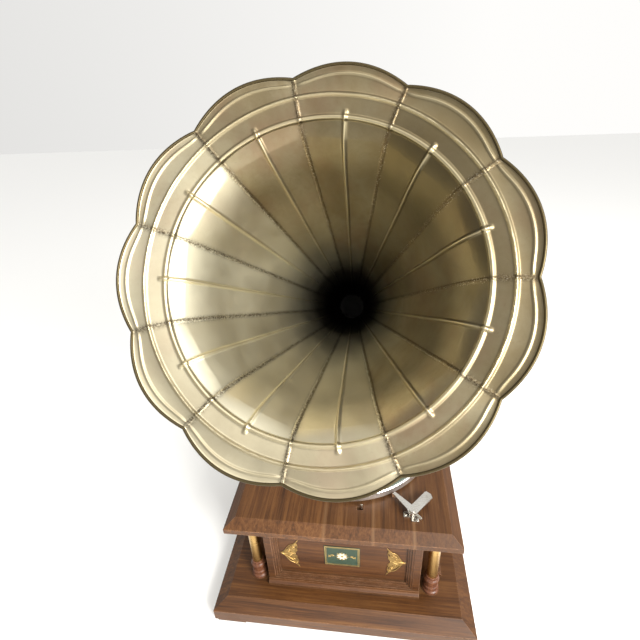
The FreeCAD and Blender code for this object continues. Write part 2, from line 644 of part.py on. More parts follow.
def tube_along(path_edges, radius, wall):
    """A round pipe along a smooth path that starts along +X."""
    path = Part.Wire(path_edges)
    start = path_edges[0].valueAt(path_edges[0].FirstParameter)
    pipes = []
    for size_here in (radius, radius - wall):
        ring = Part.Wire(Part.makeCircle(size_here, start, Vec(1, 0, 0)))
        pipes.append(path.makePipeShell([ring], True, True))
    return pipes[0].cut(pipes[1])


turret_stem = rod("socket_radius", 0, "pivot_y", "ring_low", "ring_high-ring_low+5")
turret_drum = turned([(0, -HALF_TURRET + 1), (12.5, -HALF_TURRET + 1), (13.5, -16), (13.5, 18),
                      (12.5, 20.9), (0, 20.9)], 0, "pivot_y", "arm_z")
turret_air = rod("socket_radius-2", 0, "pivot_y", "arm_z-12", 40)
turret_port = rod(8, 0, "pivot_y", "arm_z", 20, park * ALONG_X)
node("tonearm_turret", cut(fuse(turret_stem, turret_drum), turret_air, turret_port))


tube = Part.makeCone(11, 9, 128, Vec(18, 0, 0), Vec(1, 0, 0))
tube = tube.fuse(Part.makeCylinder(10.5, 5, Vec(146, 0, 0), Vec(1, 0, 0)))
tube = tube.fuse(Part.makeCylinder(8, 15, Vec(151, 0, 0), Vec(1, 0, 0)))
tube = tube.cut(Part.makeCone(8.5, 6.3, 160, Vec(10, 0, 0), Vec(1, 0, 0)))
turret_room = Part.makeCylinder(13.5, 60, Vec(0, 0, -30))
tube = tube.cut(Part.makeCylinder(6.3, 30, Vec(140, 0, 0), Vec(1, 0, 0))).cut(turret_room)
flange = Part.makeCylinder(13, 8, Vec(11, 0, 0), Vec(1, 0, 0)).cut(turret_room)
flange = flange.cut(Part.makeCylinder(8.2, 12, Vec(9, 0, 0), Vec(1, 0, 0)))
node("tonearm_tube", formula(tube.fuse(flange).removeSplitter(), arm_place))


def gooseneck():
    """A sleeve on the tube's spigot, an S-bend to the side and a quarter bend into the box."""
    bend, swing, lead = 30.0, math.radians(57.77), 166.3
    side = 2 * bend * (1 - math.cos(swing))
    run = 2 * bend * math.sin(swing)
    half = swing / 2
    edges = [Part.makeLine(Vec(lead, 0, 0), Vec(lead + 3, 0, 0))]
    x0 = lead + 3
    knee = Vec(x0 + bend * math.sin(swing), bend * (1 - math.cos(swing)), 0)
    edges.append(Part.Arc(Vec(x0, 0, 0),
                          Vec(x0 + bend * math.sin(half), bend * (1 - math.cos(half)), 0),
                          knee).toShape())
    end = Vec(x0 + run, side, 0)
    edges.append(Part.Arc(knee, Vec(end.x - bend * math.sin(half),
                                    end.y - bend * (1 - math.cos(half)), 0), end).toShape())
    turn = 12.0
    corner = math.sqrt(0.5)
    last = Vec(end.x + turn, end.y - turn, 0)
    edges.append(Part.Arc(end, Vec(end.x + turn * corner, end.y - turn * (1 - corner), 0),
                          last).toShape())
    edges.append(Part.makeLine(last, Vec(last.x, 7, 0)))
    pipe = tube_along(edges, 7.5, 1.5)
    sleeve = Part.makeCylinder(10, 17, Vec(151.4, 0, 0), Vec(1, 0, 0))
    sleeve = sleeve.cut(Part.makeCylinder(8 + RUNNING, 14.9, Vec(151.4, 0, 0), Vec(1, 0, 0)))
    sleeve = sleeve.cut(Part.makeCylinder(6, 5, Vec(165, 0, 0), Vec(1, 0, 0)))
    return sleeve.fuse(pipe), last.x


neck_shape, box_x = gooseneck()
node("gooseneck", formula(neck_shape, arm_place))
SIDEWAYS = Vec(0, 1, 0)


def sound_box():
    """A shallow drum, open to the front, with a hole in its back for the neck."""
    drum = Part.makeCylinder(30, 14, Vec(box_x, -7, 0), SIDEWAYS)
    drum = drum.cut(Part.makeCylinder(25, 9, Vec(box_x, -8, 0), SIDEWAYS))
    drum = drum.cut(Part.makeCylinder(22, 11, Vec(box_x, -8, 0), SIDEWAYS))
    drum = drum.cut(Part.makeCylinder(6, 20, Vec(box_x, -8, 0), SIDEWAYS))
    lug = Part.makeBox(9, 8, 6, Vec(box_x - 4.5, -15, -33))
    return drum.fuse(lug)


node("soundbox_body", formula(sound_box(), arm_place))
disc = Part.makeCylinder(24.8, 0.5, Vec(box_x, 0, 0), SIDEWAYS)
node("soundbox_diaphragm", formula(disc, arm_place))


tilt = Vec(0.45, 0, -0.893)
holder_top = Vec(box_x + 1.0, -19, -26)
bar_strip = Part.makeBox(2.4, 3.4, 28, Vec(box_x - 1.2, -19, -26.5))
bar_boss = Part.makeCylinder(1.4, 17, Vec(box_x, -17, 0), SIDEWAYS)
bar_foot = Part.makeCylinder(2.8, 9, holder_top, tilt)
bar_hole = Part.makeCylinder(0.9, 8, holder_top + tilt * 3, tilt)
screw_bore = Part.makeCylinder(1.2 + RUNNING, 6, holder_top + tilt * 6 + Vec(0, -6, 0), SIDEWAYS)
node("needle_bar", formula(
    bar_strip.fuse(bar_boss).fuse(bar_foot).cut(bar_hole).cut(screw_bore), arm_place))
needle_shape = Part.makeCylinder(0.9, 7, holder_top + tilt * 4.5, tilt)
needle_shape = needle_shape.fuse(Part.makeCone(0.9, 0.15, 2.2, holder_top + tilt * 11.5, tilt))
node("needle", formula(needle_shape, arm_place))
screw_tip = holder_top + tilt * 6
screw = Part.makeCylinder(1.2, 5, screw_tip + Vec(0, -6.1, 0), SIDEWAYS)
screw = screw.fuse(Part.makeCylinder(2.6, 3.4, screw_tip + Vec(0, -6.5, 0), SIDEWAYS))
node("needle_screw", formula(screw, arm_place))

# ---------------------------------------------------------------- horn

rise = math.radians(DIMS["horn_rise"])
yaw = math.radians(DIMS["horn_yaw"])
out = Vec(math.cos(rise) * math.sin(yaw), -math.cos(rise) * math.cos(yaw), math.sin(rise))
across = Vec(math.cos(yaw), math.sin(yaw), 0)
upward = out.cross(across)
mouth = FreeCAD.Placement(Vec(DIMS["horn_x"], DIMS["horn_y"], DIMS["horn_z"]),
                          FreeCAD.Rotation(across, upward, out, "ZXY"))
FIRST_SEAM = math.radians(90 + 42.7)
GORE = 2 * math.pi / GORES

wall_line = [(DIMS["throat_radius"], -DIMS["horn_long"]), (47, -338),
             (DIMS["neck_radius"], -DIMS["neck_back"]), (106, -192),
             (DIMS["bell_radius"], -DIMS["bell_back"]), (166, -51), (184, -18),
             (DIMS["ring_inner"], 0)]
lip_line = [(DIMS["ring_inner"], 0), (DIMS["ring_outer"], 7.6), (DIMS["notch_radius"], 10.4),
            (DIMS["tip_radius"], 15.8)]


def sheet_section():
    """The horn wall's cross-section: two smooth runs that meet at the inner ring."""
    sides = []
    for back in (0.0, DIMS["sheet_thick"]):
        run = []
        for line in (wall_line, lip_line):
            curve = Part.BSplineCurve()
            curve.interpolate([Vec(radius + 0.6 * back, 0, z - 0.8 * back)
                               for radius, z in line])
            run.append(curve.toShape())
        sides.append(run)
    first, last = lip_line[-1], wall_line[0]
    edge = Vec(0.6 * DIMS["sheet_thick"], 0, -0.8 * DIMS["sheet_thick"])
    ends = [Part.makeLine(Vec(r, 0, z), Vec(r, 0, z) + edge) for r, z in (first, last)]
    return Part.Face(Part.Wire(Part.__sortEdges__(sides[0] + sides[1] + ends)))


def gore_sheet():
    """One gore, a sector of the turned wall trimmed to a rounded petal at the rim."""
    gap = math.radians(0.03)
    sector = sheet_section()
    sector.rotate(Vec(), Vec(0, 0, 1), math.degrees(gap))
    sector = sector.revolve(Vec(), Vec(0, 0, 1), math.degrees(GORE - 2 * gap))
    notch, tip = DIMS["notch_radius"], DIMS["tip_radius"]
    corners = [spot_on(notch, -0.001), spot_on(tip, GORE / 2), spot_on(notch, GORE + 0.001)]
    petal = Part.Wire([Part.makeLine(Vec(), corners[0]), Part.Arc(*corners).toShape(),
                       Part.makeLine(corners[2], Vec())])
    prism = Part.Face(petal).extrude(Vec(0, 0, 500))
    prism.translate(Vec(0, 0, -440))
    return sector.common(prism).Solids[0]


def rim_wire():
    """The rolled edge along one petal."""
    lift = (10.4, 15.8, 10.4)
    reach = (DIMS["notch_radius"], DIMS["tip_radius"], DIMS["notch_radius"])
    turn = (0.012, GORE / 2, GORE - 0.012)
    spots = [spot_on(r, a) + Vec(0, 0, z) for r, a, z in zip(reach, turn, lift)]
    arc = Part.Arc(*spots)
    ring = Part.Wire(Part.makeCircle(DIMS["wire_radius"], spots[0],
                                     arc.tangent(arc.FirstParameter)[0]))
    return Part.Wire(arc.toShape()).makePipeShell([ring], True, True)


def all_round(shape):
    copies = []
    for k in range(GORES):
        copy = shape.copy()
        copy.rotate(Vec(), Vec(0, 0, 1), math.degrees(FIRST_SEAM + k * GORE))
        copies.append(copy)
    return Part.makeCompound(copies)


node("horn_bell", formula(all_round(gore_sheet()), mouth))
node("horn_rim_wire", formula(all_round(rim_wire()), mouth))

forward = Vec(math.sin(yaw), -math.cos(yaw), 0)
bend_start = Vec(0, DIMS["pivot_y"], 352.2)


def elbow_skin(growth):
    """The elbow's outer or inner skin: round sections up the pipe and along the bend."""
    sections = []
    for z, radius in ((320.0, 15.0), (336.0, 15.5)):
        sections.append(Part.Wire(Part.makeCircle(
            radius + growth, Vec(0, DIMS["pivot_y"], z), Vec(0, 0, 1))))
    reach = math.pi / 2 - rise - 0.012
    for k in range(6):
        angle = reach * k / 5
        centre = (bend_start + forward * DIMS["elbow_radius"] * (1 - math.cos(angle))
                  + Vec(0, 0, DIMS["elbow_radius"] * math.sin(angle)))
        heading = forward * math.sin(angle) + Vec(0, 0, math.cos(angle))
        sections.append(Part.Wire(Part.makeCircle(17 + 1.8 * k + growth, centre, heading)))
    return Part.makeLoft(sections, True)


node("horn_elbow", formula(elbow_skin(0).cut(elbow_skin(-1.6))))
collar_profile = [(10, 0), ("socket_radius", 0), ("socket_radius", 5.1), (17, 5.1), (19, 7),
                  (19, 10), (15.2, 14), (10, 14)]
node("horn_collar", turned(collar_profile, 0, "pivot_y", 306))

# ---------------------------------------------------------------- check and export

doc.recompute()
for obj in doc.Objects:
    if "Invalid" in obj.State or "Error" in obj.State:
        raise RuntimeError("object %s is in state %s" % (obj.Label, obj.State))
os.makedirs("parts", exist_ok=True)
for obj in NODES:
    if obj.Shape.isNull() or not obj.Shape.isValid():
        raise RuntimeError("sub-part %s has no valid shape" % obj.Label)
    obj.Shape.exportStep("parts/%s.step" % obj.Label)
print("exported", len(NODES), "sub-parts")
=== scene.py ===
import json
import math

import bpy
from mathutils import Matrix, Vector


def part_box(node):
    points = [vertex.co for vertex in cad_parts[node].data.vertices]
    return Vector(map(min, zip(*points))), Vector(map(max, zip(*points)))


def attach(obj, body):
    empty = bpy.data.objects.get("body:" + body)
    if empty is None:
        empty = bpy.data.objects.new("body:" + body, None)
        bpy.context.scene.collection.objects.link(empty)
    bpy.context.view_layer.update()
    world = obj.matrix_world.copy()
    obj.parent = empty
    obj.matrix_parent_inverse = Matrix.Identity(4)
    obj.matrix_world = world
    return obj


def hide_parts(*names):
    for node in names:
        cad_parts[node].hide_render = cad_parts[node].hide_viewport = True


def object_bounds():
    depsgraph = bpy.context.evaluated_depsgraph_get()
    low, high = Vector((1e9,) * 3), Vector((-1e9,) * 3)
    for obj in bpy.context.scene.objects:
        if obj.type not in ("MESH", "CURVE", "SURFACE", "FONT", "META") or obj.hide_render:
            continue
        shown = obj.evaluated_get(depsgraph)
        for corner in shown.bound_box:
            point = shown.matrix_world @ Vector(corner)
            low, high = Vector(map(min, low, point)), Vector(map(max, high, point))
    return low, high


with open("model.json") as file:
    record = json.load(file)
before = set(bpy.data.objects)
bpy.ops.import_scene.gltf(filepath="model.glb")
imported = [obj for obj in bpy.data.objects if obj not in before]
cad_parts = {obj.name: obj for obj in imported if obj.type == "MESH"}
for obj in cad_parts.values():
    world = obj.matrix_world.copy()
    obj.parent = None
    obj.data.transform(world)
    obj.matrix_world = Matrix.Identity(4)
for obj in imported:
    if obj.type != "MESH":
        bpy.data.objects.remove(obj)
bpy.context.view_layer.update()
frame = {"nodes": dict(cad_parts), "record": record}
NODES = frame["nodes"]
MM = 0.001


def middle(node):
    low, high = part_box(node)
    return [(low[k] + high[k]) / 2 for k in range(3)]


# ------------------------------------------------------------------ meshes

def mesh(name, verts, faces, material, smooth=35):
    data = bpy.data.meshes.new(name)
    data.from_pydata([tuple(v) for v in verts], [], faces)
    data.validate()
    if smooth:
        data.shade_smooth()
        data.set_sharp_from_angle(angle=math.radians(smooth))
    obj = bpy.data.objects.new(name, data)
    bpy.context.scene.collection.objects.link(obj)
    data.materials.append(material)
    return obj


def ring_faces(rows, columns, closed_rows=False, base=0, flip=False):
    """Quads between rows of points that each close on themselves."""
    faces = []
    last = rows if closed_rows else rows - 1
    for i in range(last):
        for j in range(columns):
            a = base + i * columns + j
            b = base + i * columns + (j + 1) % columns
            c = base + ((i + 1) % rows) * columns + (j + 1) % columns
            d = base + ((i + 1) % rows) * columns + j
            faces.append((d, c, b, a) if flip else (a, b, c, d))
    return faces


def softened(profile, steps=4, keep=()):
    """A turned profile with its inner corners rounded by quadratic curves."""
    out = [profile[0]]
    for k in range(1, len(profile) - 1):
        (x0, y0), (x1, y1), (x2, y2) = profile[k - 1], profile[k], profile[k + 1]
        if k in keep:
            out.append(profile[k])
            continue
        ax, ay = x1 + (x0 - x1) * 0.42, y1 + (y0 - y1) * 0.42
        bx, by = x1 + (x2 - x1) * 0.42, y1 + (y2 - y1) * 0.42
        for i in range(steps + 1):
            t = i / steps
            out.append(((1 - t) ** 2 * ax + 2 * t * (1 - t) * x1 + t * t * bx,
                        (1 - t) ** 2 * ay + 2 * t * (1 - t) * y1 + t * t * by))
    out.append(profile[-1])
    return out


def lathe(name, profile, centre, material, steps=72, axis="Z", wave=None):
    """A turned piece: profile is (radius, height) in mm from centre, closed at both ends."""
    verts, rows = [], 0
    for radius, height in profile:
        rows += 1
        for j in range(steps):
            angle = 2 * math.pi * j / steps
            r = max(radius, 0.0) * (wave(angle, height) if wave else 1)
            a, b = r * math.cos(angle), r * math.sin(angle)
            spot = (a, b, height) if axis == "Z" else (height, a, b)
            verts.append([centre[k] + spot[k] * MM for k in range(3)])
    faces = ring_faces(rows, steps)
    faces.append(tuple(reversed(range(steps))))
    faces.append(tuple(range((rows - 1) * steps, rows * steps)))
    return mesh(name, verts, faces, material)


def tube(name, path, radius, material, steps=10, closed=False, taper=False):
    """A round bar along points in metres; radius in mm."""
    verts = []
    count = len(path)
    side = None
    for i, spot in enumerate(path):
        ahead = path[(i + 1) % count] if closed or i < count - 1 else spot
        behind = path[i - 1] if closed or i > 0 else spot
        along = (Vector(ahead) - Vector(behind)).normalized()
        if side is None:
            side = along.orthogonal().normalized()
        side = (side - along * side.dot(along)).normalized()
        other = along.cross(side)
        r = radius * MM
        if taper:
            r *= 0.25 + 0.75 * math.sin(math.pi * min(max(i / (count - 1), 0.02), 0.98)) ** 0.6
        for j in range(steps):
            a = 2 * math.pi * j / steps
            verts.append(Vector(spot) + side * (r * math.cos(a)) + other * (r * math.sin(a)))
    faces = ring_faces(count, steps, closed)
    if not closed:
        faces.append(tuple(reversed(range(steps))))
        faces.append(tuple(range((count - 1) * steps, count * steps)))
    return mesh(name, verts, faces, material, 60)


def plate(name, outline, low, high, place, material):
    """A flat piece: outline in mm, low and high its two faces, place maps (a, b, h) to metres."""
    n = len(outline)
    verts = [place(a, b, low) for a, b in outline] + [place(a, b, high) for a, b in outline]
    faces = [tuple(reversed(range(n))), tuple(range(n, 2 * n))]
    faces += [(k, (k + 1) % n, n + (k + 1) % n, n + k) for k in range(n)]
    obj = mesh(name, verts, faces, material, 30)
    rounding = obj.modifiers.new("rounding", "BEVEL")
    rounding.width = min(0.0004, abs(high - low) * MM * 0.3)
    rounding.segments = 2
    return obj


# ------------------------------------------------------------------ materials

class Paint:
    """A material and short ways to add its nodes."""

    def __init__(self, name, **settings):
        self.material = bpy.data.materials.new(name)
        self.material.use_nodes = True
        self.tree = self.material.node_tree
        self.shader = self.tree.nodes["Principled BSDF"]
        self.coords = self.tree.nodes.new("ShaderNodeTexCoord").outputs["Object"]
        for key, value in settings.items():
            self.shader.inputs[key.replace("_", " ")].default_value = value

    def node(self, kind, **values):
        made = self.tree.nodes.new("ShaderNode" + kind)
        for key, value in values.items():
            setattr(made, key, value)
        return made

    def link(self, source, target):
        self.tree.links.new(source, target)

    def scaled(self, x, y, z):
        mapping = self.node("Mapping")
        mapping.inputs["Scale"].default_value = (x, y, z)
        self.link(self.coords, mapping.inputs["Vector"])
        return mapping.outputs["Vector"]

    def noise(self, scale, detail=4, rough=0.55, where=None, distortion=0.0):
        made = self.node("TexNoise")
        made.inputs["Scale"].default_value = scale
        made.inputs["Detail"].default_value = detail
        made.inputs["Roughness"].default_value = rough
        made.inputs["Distortion"].default_value = distortion
        self.link(where or self.coords, made.inputs["Vector"])
        return made.outputs["Fac"]

    def steps(self, fac, *stops):
        ramp = self.node("ValToRGB")
        bar = ramp.color_ramp
        while len(bar.elements) < len(stops):
            bar.elements.new(0.5)
        for element, (place, colour) in zip(bar.elements, stops):
            element.position = place
            if not isinstance(colour, tuple):
                colour = (colour, colour, colour)
            element.color = (*colour, 1)
        self.link(fac, ramp.inputs["Fac"])
        return ramp.outputs["Color"]

    def mix(self, fac, first, second):
        made = self.node("Mix", data_type="RGBA")
        for source, target in ((fac, made.inputs["Factor"]), (first, made.inputs["A"]),
                               (second, made.inputs["B"])):
            if isinstance(source, (int, float)):
                target.default_value = source
            elif isinstance(source, tuple):
                target.default_value = (*source, 1)
            else:
                self.link(source, target)
        return made.outputs["Result"]

    def maths(self, operation, first, second=0.5):
        made = self.node("Math", operation=operation)
        for source, target in ((first, made.inputs[0]), (second, made.inputs[1])):
            if isinstance(source, (int, float)):
                target.default_value = source
            else:
                self.link(source, target)
        return made.outputs[0]

    def axis(self, letter):
        split = self.node("SeparateXYZ")
        self.link(self.coords, split.inputs[0])
        return split.outputs[letter]

    def finish(self, colour=None, rough=None, bump=None, strength=0.3, distance=0.0006,
               edge=0.0008):
        if colour is not None:
            self.link(colour, self.shader.inputs["Base Color"])
        if rough is not None:
            self.link(rough, self.shader.inputs["Roughness"])
        normal = None
        if edge:
            rounded = self.node("Bevel")
            rounded.samples = 4
            rounded.inputs["Radius"].default_value = edge
            normal = rounded.outputs["Normal"]
        if bump is not None:
            bumped = self.node("Bump")
            bumped.inputs["Strength"].default_value = strength
            bumped.inputs["Distance"].default_value = distance
            self.link(bump, bumped.inputs["Height"])
            if normal is not None:
                self.link(normal, bumped.inputs["Normal"])
            normal = bumped.outputs["Normal"]
        if normal is not None:
            self.link(normal, self.shader.inputs["Normal"])
        return self.material


def wood(name, dark, mid, pale, along="X", scale=1.0, seams=(), shine=0.4):
    """Stained wood: long grain along one axis, pores, worn pale edges, dust in the corners."""
    paint = Paint(name)

    def stretched(fine, long):
        place = {"X": (long, fine, fine), "Y": (fine, long, fine), "Z": (fine, fine, long)}[along]
        return paint.scaled(*(value * scale for value in place))

    grain = paint.noise(1.0, 6, 0.68, stretched(420, 9), 0.4)
    bands = paint.noise(1.0, 4, 0.6, stretched(70, 3), 1.5)
    pores = paint.noise(1.0, 3, 0.75, stretched(1500, 60))
    colour = paint.steps(paint.mix(0.5, grain, bands), (0.36, dark), (0.5, mid), (0.64, pale))
    colour = paint.mix(paint.steps(pores, (0.3, 0.8), (0.43, 0.0)), colour,
                       tuple(v * 0.4 for v in dark))
    clouds = paint.steps(paint.noise(5, 4, 0.6), (0.38, 0.0), (0.7, 0.5))
    colour = paint.mix(clouds, colour, tuple(v * 0.55 for v in mid))
    for place in seams:
        side = paint.maths("SUBTRACT", paint.axis("X"), place)
        line = paint.steps(paint.maths("ABSOLUTE", side), (0.0003, 0.6), (0.0008, 0.0))
        colour = paint.mix(line, colour, (0.17, 0.09, 0.04))
        board = paint.steps(side, (0.0, 0.0), (0.0001, 0.22), (0.07, 0.1))
        colour = paint.mix(board, colour, tuple(v * 0.8 for v in dark))
    plain_normal = paint.node("NewGeometry").outputs["Normal"]
    rounded = paint.node("Bevel")
    rounded.samples = 4
    rounded.inputs["Radius"].default_value = 0.0016
    facing = paint.node("VectorMath", operation="DOT_PRODUCT")
    paint.link(plain_normal, facing.inputs[0])
    paint.link(rounded.outputs["Normal"], facing.inputs[1])
    edge = paint.maths("SUBTRACT", 1.0, facing.outputs["Value"])
    hollow = paint.node("AmbientOcclusion")
    hollow.samples = 4
    hollow.inputs["Distance"].default_value = 0.012
    shut = hollow.outputs["AO"]
    wear = paint.maths("MULTIPLY", paint.steps(edge, (0.03, 0.0), (0.12, 1.0)),
                       paint.steps(paint.noise(90, 5, 0.75), (0.4, 0.15), (0.6, 1.0)))
    wear = paint.maths("MULTIPLY", wear, paint.steps(shut, (0.6, 0.0), (0.85, 0.85)))
    colour = paint.mix(wear, colour, tuple(min(v * 1.9 + 0.06, 1) for v in pale))
    dusty = paint.maths("MULTIPLY", paint.steps(shut, (0.2, 0.7), (0.7, 0.0)),
                        paint.noise(190, 4, 0.7))
    colour = paint.mix(dusty, colour, (0.17, 0.11, 0.065))
    rough = paint.steps(paint.mix(0.5, bands, paint.noise(22, 4, 0.6)), (0.3, shine - 0.04),
                        (0.7, shine + 0.2))
    paint.shader.inputs["Specular IOR Level"].default_value = 0.3
    paint.shader.inputs["Coat Weight"].default_value = 0.06
    paint.shader.inputs["Coat Roughness"].default_value = 0.4
    return paint.finish(colour, rough, paint.mix(0.5, grain, pores), 0.3, 0.0004, 0.0009)


def metal(name, base, dull, stain, rough=(0.22, 0.45), scale=1.0, edge=0.0005, brushed=None):
    """Worn plated or solid metal with tarnish, spots and fine scratches."""
    paint = Paint(name, Metallic=1.0)
    cloud = paint.noise(14 * scale, 6, 0.6, distortion=0.8)
    spots = paint.noise(150 * scale, 3, 0.7)
    where = paint.scaled(*brushed) if brushed else paint.scaled(60, 900, 900)
    scratch = paint.noise(1.0, 4, 0.75, where)
    colour = paint.mix(paint.steps(cloud, (0.4, 0.0), (0.7, 0.85)), base, dull)
    colour = paint.mix(paint.steps(spots, (0.6, 0.0), (0.74, 0.6)), colour, stain)
    sheen = paint.steps(paint.mix(0.5, cloud, scratch), (0.3, rough[0]), (0.7, rough[1]))
    return paint.finish(colour, sheen, paint.mix(0.5, scratch, spots), 0.12, 0.0003, edge)


def plain(name, colour, other, rough, scale=60, bump=0.2, **settings):
    paint = Paint(name, **settings)
    cloud = paint.noise(scale, 5, 0.65)
    shade = paint.steps(cloud, (0.35, colour), (0.68, other))
    sheen = paint.steps(cloud, (0.3, rough), (0.7, min(rough + 0.2, 1)))
    return paint.finish(shade, sheen, paint.noise(scale * 6, 3, 0.7), bump, 0.0004, 0.0005)


def felt_paint():
    paint = Paint("green_baize")
    fuzz = paint.noise(1400, 3, 0.8)
    cloud = paint.noise(18, 5, 0.6)
    colour = paint.mix(paint.steps(cloud, (0.35, 0.0), (0.7, 1.0)), (0.012, 0.032, 0.02),
                       (0.03, 0.06, 0.035))
    colour = paint.mix(paint.steps(fuzz, (0.5, 0.0), (0.75, 0.5)), colour, (0.07, 0.1, 0.07))
    paint.shader.inputs["Sheen Weight"].default_value = 0.4
    paint.shader.inputs["Roughness"].default_value = 0.95
    return paint.finish(colour, None, fuzz, 0.6, 0.0008, 0.0005)


DARK, MID, PALE = (0.026, 0.008, 0.0018), (0.07, 0.024, 0.0055), (0.125, 0.049, 0.013)
GOLD, GOLD_DULL, GOLD_STAIN = (0.5, 0.34, 0.13), (0.26, 0.16, 0.06), (0.09, 0.05, 0.025)
NICKEL, NICKEL_DULL, NICKEL_STAIN = (0.68, 0.66, 0.61), (0.5, 0.47, 0.42), (0.2, 0.16, 0.12)
STEEL, STEEL_DULL, STEEL_STAIN = (0.42, 0.42, 0.43), (0.25, 0.25, 0.26), (0.1, 0.08, 0.06)

wood_x = wood("wood_along_x", DARK, MID, PALE, "X")
wood_z = wood("wood_upright", DARK, MID, PALE, "Z")
board_paint = wood("board_planks", (0.032, 0.011, 0.0025), (0.092, 0.034, 0.008),
                   (0.15, 0.063, 0.018), "Y", 1.0, (-0.025, 0.051, 0.113), 0.45)
plinth_paint = wood("plinth_wood", (0.028, 0.0095, 0.002), (0.08, 0.029, 0.0065),
                    (0.14, 0.058, 0.015), "X", 0.9)
raw_wood = wood("raw_wood", (0.12, 0.07, 0.035), (0.2, 0.125, 0.07), (0.3, 0.2, 0.12), "X", 0.8,
                (), 0.7)
column_paint = wood("column_wood", (0.05, 0.016, 0.008), (0.115, 0.04, 0.018),
                    (0.19, 0.075, 0.032), "Z", 1.3, (), 0.3)
handle_paint = wood("handle_wood", (0.03, 0.008, 0.005), (0.07, 0.02, 0.01),
                    (0.12, 0.04, 0.02), "X", 1.5, (), 0.28)
column_brass = metal("column_brass", (0.56, 0.36, 0.13), (0.36, 0.21, 0.075), GOLD_STAIN,
                     (0.2, 0.4), 1.5)
brass = metal("old_brass", GOLD, GOLD_DULL, GOLD_STAIN, (0.28, 0.5))
gear_brass = metal("gear_brass", (0.6, 0.42, 0.17), (0.42, 0.28, 0.11), GOLD_STAIN, (0.25, 0.42))
nickel = metal("worn_nickel", NICKEL, NICKEL_DULL, NICKEL_STAIN, (0.16, 0.38))
platter_nickel = metal("platter_nickel", (0.9, 0.89, 0.87), (0.82, 0.81, 0.79),
                       (0.5, 0.46, 0.4), (0.3, 0.5))
steel = metal("turned_steel", STEEL, STEEL_DULL, STEEL_STAIN, (0.25, 0.45))
blued = metal("blued_spring", (0.12, 0.14, 0.2), (0.08, 0.07, 0.09), STEEL_STAIN, (0.25, 0.4))
iron = plain("japanned_iron", (0.012, 0.012, 0.012), (0.03, 0.028, 0.026), 0.3)
rubber = plain("grommet_rubber", (0.02, 0.02, 0.02), (0.045, 0.042, 0.04), 0.7)
leather = plain("worn_leather", (0.16, 0.075, 0.035), (0.27, 0.15, 0.08), 0.6, 120, 0.5)
mica = plain("mica_sheet", (0.62, 0.55, 0.42), (0.74, 0.68, 0.56), 0.12, 40, 0.05,
             Transmission_Weight=0.35)
felt = felt_paint()
inlay_green = plain("inlay_green", (0.012, 0.03, 0.018), (0.03, 0.055, 0.03), 0.35, 200, 0.1)
inlay_gold = metal("inlay_gold", (0.6, 0.43, 0.17), (0.42, 0.29, 0.11), GOLD_STAIN, (0.3, 0.5),
                   4.0, 0.0001)
ivory = plain("inlay_ivory", (0.72, 0.66, 0.5), (0.55, 0.47, 0.32), 0.35, 300, 0.1)

PAINTS = {
    "cabinet_wood": wood_x, "plinth_wood": plinth_paint, "board_wood": board_paint,
    "base_wood": raw_wood, "column_wood": column_paint, "column_brass": column_brass,
    "ornament_brass": brass, "inlay": inlay_green, "motor_iron": iron, "motor_steel": steel,
    "grommet_rubber": rubber, "escutcheon_brass": brass, "bracket_iron": nickel,
    "brake_nickel": nickel, "spindle_steel": steel, "gear_brass": gear_brass,
    "platter_nickel": platter_nickel, "felt": felt, "arbor_steel": steel,
    "barrel_steel": steel, "spring_steel": blued, "governor_steel": steel,
    "weight_brass": gear_brass, "lever_nickel": nickel, "crank_nickel": nickel,
    "handle_wood": handle_paint, "brake_leather": leather, "arm_nickel": nickel, "mica": mica,
    "collar_brass": brass,
}


# ------------------------------------------------------------------ horn

PIVOT = middle("horn_collar")
RISE, YAW = math.radians(32.18), math.radians(-3.27)
OUT = Vector((math.cos(RISE) * math.sin(YAW), -math.cos(RISE) * math.cos(YAW), math.sin(RISE)))
ACROSS = Vector((math.cos(YAW), math.sin(YAW), 0))
UPWARD = OUT.cross(ACROSS)
MOUTH = Vector((PIVOT[0] - 20.9 * MM, PIVOT[1] - 366.1 * MM, 615.9 * MM))
GORES = 11
GORE = 2 * math.pi / GORES
SEAM = math.radians(-42.7)
TIP, RING, OUTER_RING = 254.0, 198.3, 222.0
OUTER_RING_Z = 7.6
PETAL_DROP, PETAL_HALF = 20.3, 68.6  # how far a petal's edge falls back, over half its width
NOTCH_Z, PETAL_LIFT = 10.4, 5.4
SHEET = 1.1
RIB_HIGH, RING_HIGH, OUTER_RING_HIGH, SEAM_HIGH = 2.6, 3.0, 2.8, 0.75
WALL = [(25, -400), (47, -338), (75, -267.5), (106, -192), (144.6, -104), (166, -51),
        (184, -18), (198.3, 0)]


def horn_spot(radius, angle, z):
    """A point on the horn; angle runs clockwise from the top, seen from the front."""
    return (MOUTH + ACROSS * (radius * math.sin(angle) * MM)
            + UPWARD * (radius * math.cos(angle) * MM) + OUT * (z * MM))


def smooth_through(points, t):
    """A Catmull-Rom curve through (radius, z) points, t from 0 to 1."""
    spans = len(points) - 1
    place = min(t * spans, spans - 1e-9)
    k = int(place)
    f = place - k
    p = [points[min(max(k + i, 0), spans)] for i in (-1, 0, 1, 2)]
    out = []
    for a in (0, 1):
        p0, p1, p2, p3 = (q[a] for q in p)
        out.append(0.5 * (2 * p1 + (p2 - p0) * f + (2 * p0 - 5 * p1 + 4 * p2 - p3) * f * f
                          + (3 * p1 - p0 - 3 * p2 + p3) * f ** 3))
    return out


def rim_at(share):
    """Radius and z of the petal's edge, share from 0 at one seam to 1 at the next."""
    angle = (share - 0.5) * GORE
    radius = TIP
    for _ in range(4):
        x = radius * math.sin(angle)
        radius = (TIP - PETAL_DROP * (x / PETAL_HALF) ** 2) / math.cos(angle)
    lift = 1 - (2 * share - 1) ** 2
    return radius, NOTCH_Z + PETAL_LIFT * lift


